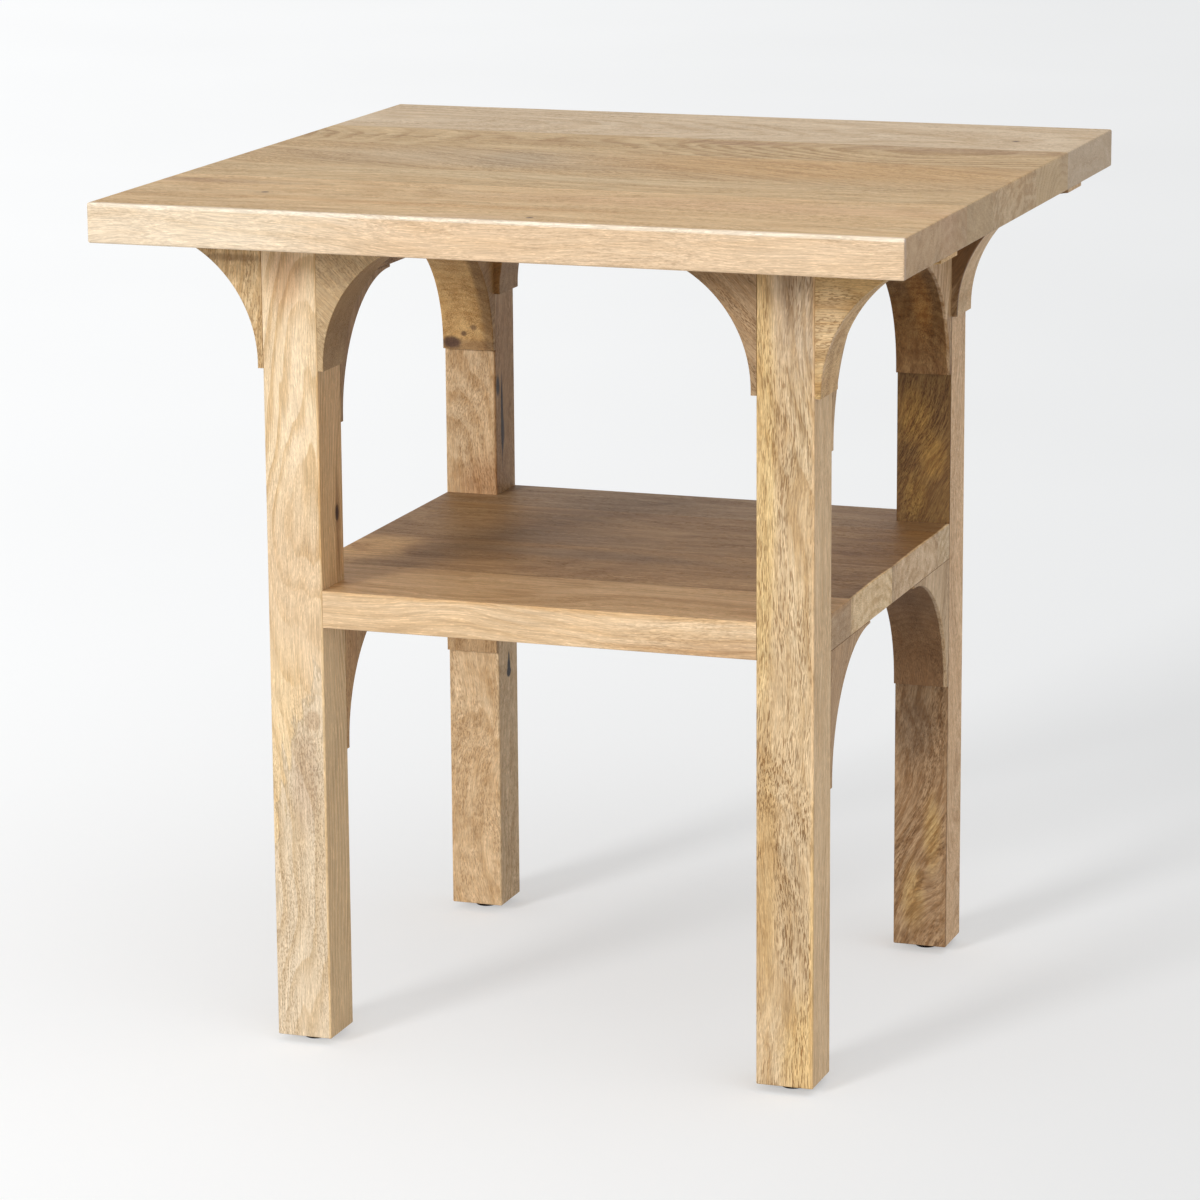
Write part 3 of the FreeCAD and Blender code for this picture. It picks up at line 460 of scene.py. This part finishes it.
LEGS = {
    "leg_front_left": dict(
        heading=90.0, tone=(219, 192, 153), spread=0.09, cloudy=0.0, seed=21.0, pith=(-17.0, -40.0),
        tilt=(0.0, 0.0), swing=10.0, wave=500.0, phase=-2.75, ring=4.5, bands=0.2, lines=1.1, streaks=0.2,
        figure=0.15, pores=0.38, pore=(2.4, 0.8), bend=12.0,
        knots=(Knot((LEFT_SIDE, -161.0, 375.0), 2.4),),
        patches=(Patch((-177.0, LEG_FRONT, 539.0), (12.0, 3.0, 20.0), (192, 152, 110), 0.65, 0.6),
                 Patch((-172.0, LEG_FRONT, 445.0), (8.0, 3.0, 60.0), (230, 205, 170), 0.5, 0.5),
                 Patch((-175.0, LEG_FRONT, 300.0), (60.0, 3.0, 90.0), (198, 167, 129), 0.7, 0.5),
                 Patch((-190.0, LEG_FRONT, 170.0), (30.0, 3.0, 110.0), (214, 185, 141), 0.8, 0.4),
                 Patch((LEFT_SIDE, LEG_FRONT, 60.0), (42.0, 4.0, 198.0), (206, 184, 153), 0.95, 0.05),
                 Patch((-170.0, LEG_FRONT, 190.0), (10.0, 4.0, 34.0), (180, 154, 126), 0.6, 0.5),
                 Patch((-164.0, LEG_FRONT, 234.0), (6.0, 4.0, 7.0), (176, 148, 116), 0.7, 0.3),
                 Patch((LEFT_SIDE, -165.0, 290.0), (1.8, 70.0, 600.0), (209, 178, 134), 0.95, 0.3),
                 Patch((LEFT_SIDE, -170.0, 400.0), (1.8, 60.0, 84.0), (211, 174, 126), 0.9, 0.3),
                 Patch((LEFT_SIDE, -160.0, 366.0), (2.0, 4.0, 34.0), (150, 108, 72), 0.6, 0.5),
                 Patch((LEFT_SIDE, -161.0, 375.0), (2.0, 3.0, 6.0), (70, 46, 34), 0.95, 0.3)),
        calm=(Calm((-175.0, LEG_FRONT, 430.0), (60.0, 4.0, 190.0), 0.9, 0.5),
              Calm((-175.0, LEG_FRONT, 60.0), (60.0, 4.0, 190.0), 0.5, 1.3),
              Calm((LEFT_SIDE, -170.0, 440.0), (2.0, 60.0, 130.0), 1.0, 0.3),
              Calm((LEFT_SIDE, -170.0, 150.0), (2.0, 60.0, 160.0), 0.6, 0.3))),
    "leg_front_right": dict(
        tone=(197, 168, 128), spread=0.10, seed=22.0, pith=(50.0, 20.0), tilt=(0.05, 0.10), bend=12.0,
        ring=5.0, bands=0.3, lines=0.6, streaks=0.3, curl=0.2, pores=0.8, pore=(8.0, 0.72),
        patches=(Patch((190.0, LEG_FRONT, 548.0), (24.0, 12.0, 52.0), (186, 166, 142), 0.6, 0.5),
                 Patch((176.0, LEG_FRONT, 552.0), (5.0, 3.0, 26.0), (140, 112, 82), 0.5, 0.5),
                 Patch((158.0, LEG_FRONT, 420.0), (10.0, 4.0, 150.0), (206, 173, 116), 0.75, 0.4),
                 Patch((162.0, LEG_FRONT, 160.0), (8.0, 4.0, 90.0), (180, 144, 92), 0.7, 0.5),
                 Patch((184.0, LEG_FRONT, 130.0), (14.0, 12.0, 60.0), (178, 151, 115), 0.5, 0.6),
                 Patch((190.0, LEG_FRONT, 28.0), (16.0, 12.0, 40.0), (202, 166, 106), 0.6, 0.5),
                 Patch((RIGHT_SIDE, -160.0, 290.0), (1.8, 80.0, 600.0), (209, 176, 133), 0.95, 0.2),
                 Patch((RIGHT_SIDE, LEG_FRONT, 90.0), (3.0, 2.0, 110.0), (204, 168, 112), 0.7, 0.4)),
        calm=(Calm((RIGHT_SIDE, -170.0, 290.0), (2.0, 60.0, 600.0), 0.7, 0.4),
              Calm((175.0, LEG_FRONT, 100.0), (60.0, 4.0, 190.0), 0.8, 1.3))),
    "leg_back_left": dict(
        tone=(196, 163, 122), spread=0.12, cloudy=0.4, seed=23.0, pith=(30.0, 16.0), tilt=(0.04, 0.10),
        bend=22.0, ring=6.0, bands=0.2, lines=0.5, streaks=0.15, figure=0.35, figured=(26.0, 3.0),
        curl=0.35, pores=0.5, pore=(3.2, 0.85),
        patches=(Patch((LEFT_SIDE, 170.0, 290.0), (1.8, 60.0, 600.0), (196, 166, 126), 0.95, 0.15),
                 Patch((LEFT_SIDE, 170.0, 400.0), (1.8, 60.0, 84.0), (156, 118, 77), 0.9, 0.3),
                 Patch((LEFT_SIDE, 163.0, 384.0), (2.0, 2.2, 32.0), (44, 30, 24), 1.0, 0.35),
                 Patch((LEFT_SIDE, 164.0, 372.0), (2.0, 3.4, 12.0), (54, 38, 30), 0.9, 0.4),
                 Patch((LEFT_SIDE, 155.0, 408.0), (2.0, 3.4, 7.0), (50, 36, 28), 0.95, 0.4),
                 Patch((LEFT_SIDE, 171.5, 185.0), (2.0, 4.6, 4.0), (42, 36, 36), 1.0, 0.25),
                 Patch((LEFT_SIDE, 171.5, 190.0), (2.0, 3.2, 5.5), (42, 36, 36), 1.0, 0.25),
                 Patch((LEFT_SIDE, 171.5, 195.0), (2.0, 1.8, 6.0), (46, 38, 36), 0.95, 0.3),
                 Patch((-160.0, LEG_BACK, 330.0), (24.0, 5.0, 24.0), (160, 112, 68), 0.6, 0.6))),
    "leg_back_right": dict(
        slant=70.0, tone=(201, 163, 120), spread=0.17, seed=24.0, pith=(40.0, 0.0), tilt=(0.08, 0.05),
        bend=26.0, bands=0.2, streaks=0.3, figure=1.0, figured=(15.0, 2.1), curl=0.3, pores=0.8,
        pore=(4.0, 0.85),
        patches=(Patch((175.0, LEG_BACK, 100.0), (70.0, 1.8, 260.0), (135, 104, 71), 0.98, 0.2),
                 Patch((175.0, LEG_BACK, 440.0), (70.0, 1.8, 170.0), (104, 74, 35), 0.98, 0.2),
                 Patch((168.0, LEG_BACK, 404.0), (12.0, 2.0, 18.0), (150, 110, 48), 0.45, 0.6),
                 Patch((182.0, LEG_BACK, 376.0), (9.0, 2.0, 15.0), (150, 110, 48), 0.45, 0.6),
                 Patch((170.0, LEG_BACK, 346.0), (8.0, 2.0, 14.0), (140, 104, 46), 0.4, 0.6),
                 Patch((170.0, LEG_BACK, 172.0), (14.0, 2.0, 26.0), (104, 80, 56), 0.7, 0.6),
                 Patch((184.0, LEG_BACK, 92.0), (6.0, 2.0, 26.0), (164, 130, 74), 0.55, 0.6),
                 Patch((170.0, LEG_BACK, 42.0), (8.0, 2.0, 22.0), (164, 130, 74), 0.5, 0.6)),
        calm=(Calm((RIGHT_SIDE, 170.0, 290.0), (2.0, 60.0, 600.0), 0.55, 0.5),)),
}

# Each bracket is sawn from its own offcut, so its tone and the way of its grain are its own
BRACKET_WOOD = dict(spread=0.10, ring=5.0, bend=8.0, pores=0.55, pore=(3.4, 0.85), bands=0.25, lines=0.4,
                    figure=0.45, swing=5.0, wave=140.0, cloudy=0.5)
BRACKETS = {
    "outer_bracket_front_left": dict(
        tone=(204, 172, 126), slant=84.0, curl=0.5, pores=0.7,
        patches=(Patch((-240.0, LEG_FRONT, 566.0), (44.0, 6.0, 7.0), (142, 112, 76), 0.6, 0.5),
                 Patch((-215.0, LEG_FRONT, 553.0), (26.0, 6.0, 2.4), (146, 116, 80), 0.6, 0.5))),
    "outer_bracket_front_right": dict(
        # Its end tone above one lightens the faces across its grain, the hollow curve among them: painted
        # light.
        tone=(184, 148, 96), slant=3.0, streaks=0.9, pores=0.7, end_tone=(1.22, 1.22, 1.34),
        patches=(Patch((205.0, LEG_FRONT, 522.0), (14.0, 6.0, 26.0), (206, 178, 138), 0.6, 0.6),)),
    "outer_bracket_back_left": dict(tone=(164, 130, 92), slant=70.0),
    "outer_bracket_back_right": dict(
        tone=(197, 163, 121), slant=60.0,
        patches=(Patch((230.0, BRACKET_BACK, 540.0), (90.0, 1.6, 90.0), (112, 80, 48), 0.95, 0.3),)),
    "inner_bracket_front_left": dict(
        tone=(184, 156, 117), slant=-45.0, end_tone=(0.68, 0.57, 0.40), bands=0.1, lines=0.1,
        streaks=0.1, figure=0.15, curl=0.4, pores=0.4, pore=(2.2, 0.9)),
    "inner_bracket_front_right": dict(tone=(158, 128, 93), slant=-42.0, pores=0.8),
    "inner_bracket_back_left": dict(tone=(170, 132, 84), slant=20.0),
    "inner_bracket_back_right": dict(tone=(126, 92, 54), slant=10.0),
    "rail_bracket_front_left": dict(tone=(170, 136, 98), slant=80.0),
    "rail_bracket_front_right": dict(tone=(192, 158, 118), slant=70.0),
    "rail_bracket_back_left": dict(
        tone=(214, 169, 105), slant=20.0, curl=0.6, figure=0.2, cloudy=0.5,
        patches=(Patch((-172.0, 146.0, 439.0), (60.0, 20.0, 4.0), (140, 104, 66), 0.6, 0.5),
                 Patch((-188.0, 146.0, 441.0), (7.0, 10.0, 4.5), (80, 50, 36), 0.9, 0.4),
                 Patch((-170.0, 144.0, 453.0), (2.6, 8.0, 2.2), (112, 78, 52), 0.7, 0.4),
                 Patch((-178.0, 145.0, 448.0), (2.4, 8.0, 2.0), (104, 72, 48), 0.8, 0.4),
                 Patch((-158.0, 120.0, 480.0), (6.0, 60.0, 60.0), (120, 88, 54), 0.7, 0.4))),
    "rail_bracket_back_right": dict(
        tone=(130, 94, 54), slant=80.0, spread=0.18, figure=0.8,
        patches=(Patch((178.0, 125.0, 510.0), (7.0, 40.0, 45.0), (176, 124, 64), 0.6, 0.5),
                 Patch((BRACKET_RIGHT, 110.0, 520.0), (1.6, 90.0, 90.0), (190, 155, 114), 0.95, 0.3))),
    "shelf_bracket_front_left": dict(tone=(180, 141, 94), slant=86.0),
    "shelf_bracket_front_right": dict(tone=(176, 141, 103), slant=64.0),
    "shelf_bracket_back_left": dict(tone=(170, 136, 96), slant=85.0),
    "shelf_bracket_back_right": dict(
        tone=(128, 94, 61), slant=80.0,
        patches=(Patch((BRACKET_RIGHT, 110.0, 255.0), (1.6, 90.0, 90.0), (190, 160, 123), 0.95, 0.3),)),
}

# Wood that the photograph hardly shows or does not show
RAIL_WOOD = dict(heading=ALONG_Y, tone=(170, 138, 100))
DOWEL_WOOD = dict(tone=(205, 175, 135), seed=71.0)
BRACKET_SEED, RAIL_SEED = 31.0, 61.0

# Plastic of the glides and zinc plated steel of the fasteners
GLIDE_TONES, GLIDE_MOTTLE = (srgb(16, 9, 7), srgb(30, 17, 12)), (0.35, 0.65)
GLIDE_ROUGHNESS, GLIDE_SPECULAR = (0.48, 0.60), 0.08
STEEL_TONES, STEEL_ROUGHNESS = (srgb(168, 168, 172), srgb(200, 200, 204)), (0.28, 0.42)
TURNING_MARKS = Vector((1.0, 1.0, 6.0))


def dress(node, material):
    """Give a node of the frame one material."""
    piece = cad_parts[node]
    piece.data.materials.clear()
    piece.data.materials.append(material)


def dress_in_wood(node, **wood):
    """Give a node wood of its own, counted from the middle of its box."""
    corners = [Vector(corner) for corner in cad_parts[node].bound_box]
    centre = sum(corners, Vector()) / len(corners) / MM
    dress(node, wood_material(f"wood_{node}", centre, **wood))


def glide_material():
    """Dark brown moulded plastic with a faint mottle."""
    graph = Graph(bpy.data.materials.new("glide_plastic"))
    mottle = graph.noise(graph.object_place(MM), detail=3.0)
    colour = graph.mix(graph.step(mottle, GLIDE_MOTTLE), *GLIDE_TONES)
    roughness = graph.step(mottle, NOISE_RANGE, *GLIDE_ROUGHNESS)
    return graph.finish({"Base Color": colour, "Roughness": roughness,
                         "Specular IOR Level": GLIDE_SPECULAR}, mottle)


def steel_material():
    """Zinc plated steel with fine turning marks."""
    graph = Graph(bpy.data.materials.new("fastener_steel"))
    marks = graph.noise(graph.vector("MULTIPLY", graph.object_place(MM), TURNING_MARKS), detail=3.0)
    colour = graph.mix(marks, *STEEL_TONES)
    roughness = graph.step(marks, NOISE_RANGE, *STEEL_ROUGHNESS)
    return graph.finish({"Base Color": colour, "Roughness": roughness, "Metallic": 1.0}, marks)


def dress_table():
    """Every node of the frame gets its material."""
    for name, wood in {**TOP_BOARDS, **SHELF_BOARDS}.items():
        dress_in_wood(name, **wood)
    for name, wood in LEGS.items():
        dress_in_wood(name, **{"slant": UPRIGHT, **wood})
    for count, (name, wood) in enumerate(BRACKETS.items()):
        heading = ALONG_X if name.startswith(("outer", "inner")) else ALONG_Y
        dress_in_wood(name, heading=heading, seed=BRACKET_SEED + count, **{**BRACKET_WOOD, **wood})
    for count, side in enumerate(("left", "right")):
        dress_in_wood(f"top_rail_{side}", seed=RAIL_SEED + count, **RAIL_WOOD)
    dress_in_wood("joint_dowels", **DOWEL_WOOD)
    plastic, steel = glide_material(), steel_material()
    for corner in ("front_left", "front_right", "back_left", "back_right"):
        dress(f"floor_glide_{corner}", plastic)
    for name in ("top_screws", "glide_nails"):
        dress(name, steel)


# The camera, as fitted to the corners of the table in the photograph
CAMERA_PLACE = Vector((1.0614, -3.0773, 1.0359))
CAMERA_YAW, CAMERA_PITCH, CAMERA_ROLL = 19.379, 12.923, -0.418
CAMERA_LENS, CAMERA_SENSOR = 141.06, 36.0

# The floor is so wide that it fills the picture up to its horizon. It lights the table by its tone,
# and the camera sees it by another tone and a glow.
FLOOR_SIZE = 80.0
FLOOR_TONE, FLOOR_SEEN = 0.80, 0.54
FLOOR_TINT = (0.985, 1.0, 1.010, 1.0)
FLOOR_MOTTLE, FLOOR_ROUGHNESS = (0.98, 1.02), 0.9
GLOW_LEFT, GLOW_RIGHT = 0.505, 0.300
FAN_REACH, FAN_START = 0.25, 1.0

WORLD_LIGHT, WORLD_SEEN = 0.50, 0.90
LIGHTS = {
    "front_light": dict(toward=(-0.36, -0.88, 0.31), spread=15.0, strength=1.95),
    "high_light": dict(toward=(0.42, -0.45, 0.79), spread=80.0, strength=0.94),
}


def seen_directly(graph):
    """One where a ray comes from the camera, or to it by a mirror or through glass, and zero elsewhere."""
    path = graph.node("ShaderNodeLightPath", {})
    seen = path.outputs["Is Camera Ray"]
    for name in ("Is Glossy Ray", "Is Transmission Ray"):
        seen = graph.math("MAXIMUM", seen, path.outputs[name])
    return seen


def floor_glow(graph, place):
    """A glow that falls off from left to right, laid out as a fan from the photographer's place."""
    yaw = math.radians(CAMERA_YAW)
    sideways = Vector((math.cos(yaw), math.sin(yaw), 0.0))
    onward = Vector((-math.sin(yaw), math.cos(yaw), 0.0))
    from_camera = graph.vector("SUBTRACT", place, CAMERA_PLACE)
    away = graph.math("MAXIMUM", graph.dot(from_camera, onward), FAN_START)
    fan = graph.math("DIVIDE", graph.dot(from_camera, sideways), away)
    return graph.step(fan, (-FAN_REACH, FAN_REACH), GLOW_LEFT, GLOW_RIGHT)


def make_floor():
    """A wide pale floor, seen paler than it is."""
    bpy.ops.mesh.primitive_plane_add(size=FLOOR_SIZE)
    floor = bpy.context.object
    floor.name = "floor"
    graph = Graph(bpy.data.materials.new("floor_paper"))
    place = graph.add("ShaderNodeTexCoord", {}, "Object")
    seen = seen_directly(graph)
    tone = graph.step(seen, (0.0, 1.0), FLOOR_TONE, FLOOR_SEEN)
    mottle = graph.step(graph.noise(place, detail=2.0), NOISE_RANGE, *FLOOR_MOTTLE)
    colour = graph.shade(FLOOR_TINT, graph.math("MULTIPLY", tone, mottle))
    glow = graph.math("MULTIPLY", floor_glow(graph, place), seen)
    shader = graph.add("ShaderNodeBsdfPrincipled", {
        "Base Color": colour, "Roughness": FLOOR_ROUGHNESS, "Specular IOR Level": 0.0,
        "Emission Color": WHITE, "Emission Strength": glow})
    graph.node("ShaderNodeOutputMaterial", {"Surface": shader})
    floor.data.materials.append(graph.owner)


def make_world():
    """Even light from all round, seen by the camera as a pale wall."""
    graph = Graph(bpy.data.worlds.new("studio"))
    strength = graph.step(seen_directly(graph), (0.0, 1.0), WORLD_LIGHT, WORLD_SEEN)
    background = graph.add("ShaderNodeBackground", {"Color": WHITE, "Strength": strength})
    graph.node("ShaderNodeOutputWorld", {"Surface": background})
    bpy.context.scene.world = graph.owner


def make_light(name, toward, spread, strength):
    """A soft, far lamp that stands in one direction and fills some degrees of the view."""
    lamp = bpy.data.lights.new(name, "SUN")
    lamp.angle = math.radians(spread)
    lamp.energy = strength
    item = bpy.data.objects.new(name, lamp)
    bpy.context.collection.objects.link(item)
    item.rotation_euler = Vector(toward).to_track_quat("Z", "Y").to_euler()


def make_camera():
    """The camera stands to the right of the front and looks down a little."""
    yaw, pitch, roll = (math.radians(angle) for angle in (CAMERA_YAW, CAMERA_PITCH, CAMERA_ROLL))
    ahead = Vector((-math.sin(yaw) * math.cos(pitch), math.cos(yaw) * math.cos(pitch), -math.sin(pitch)))
    level = Vector((math.cos(yaw), math.sin(yaw), 0.0))
    above = level.cross(ahead)
    right = math.cos(roll) * level + math.sin(roll) * above
    up = math.cos(roll) * above - math.sin(roll) * level
    data = bpy.data.cameras.new("camera")
    data.lens, data.sensor_width = CAMERA_LENS, CAMERA_SENSOR
    camera = bpy.data.objects.new("camera", data)
    bpy.context.collection.objects.link(camera)
    turn = Matrix((right, up, -ahead)).transposed()
    camera.matrix_world = Matrix.Translation(CAMERA_PLACE) @ turn.to_4x4()
    bpy.context.scene.camera = camera


dress_table()
make_floor()
make_world()
for light_name, light in LIGHTS.items():
    make_light(light_name, **light)
make_camera()
bpy.context.scene.view_settings.view_transform = "Standard"
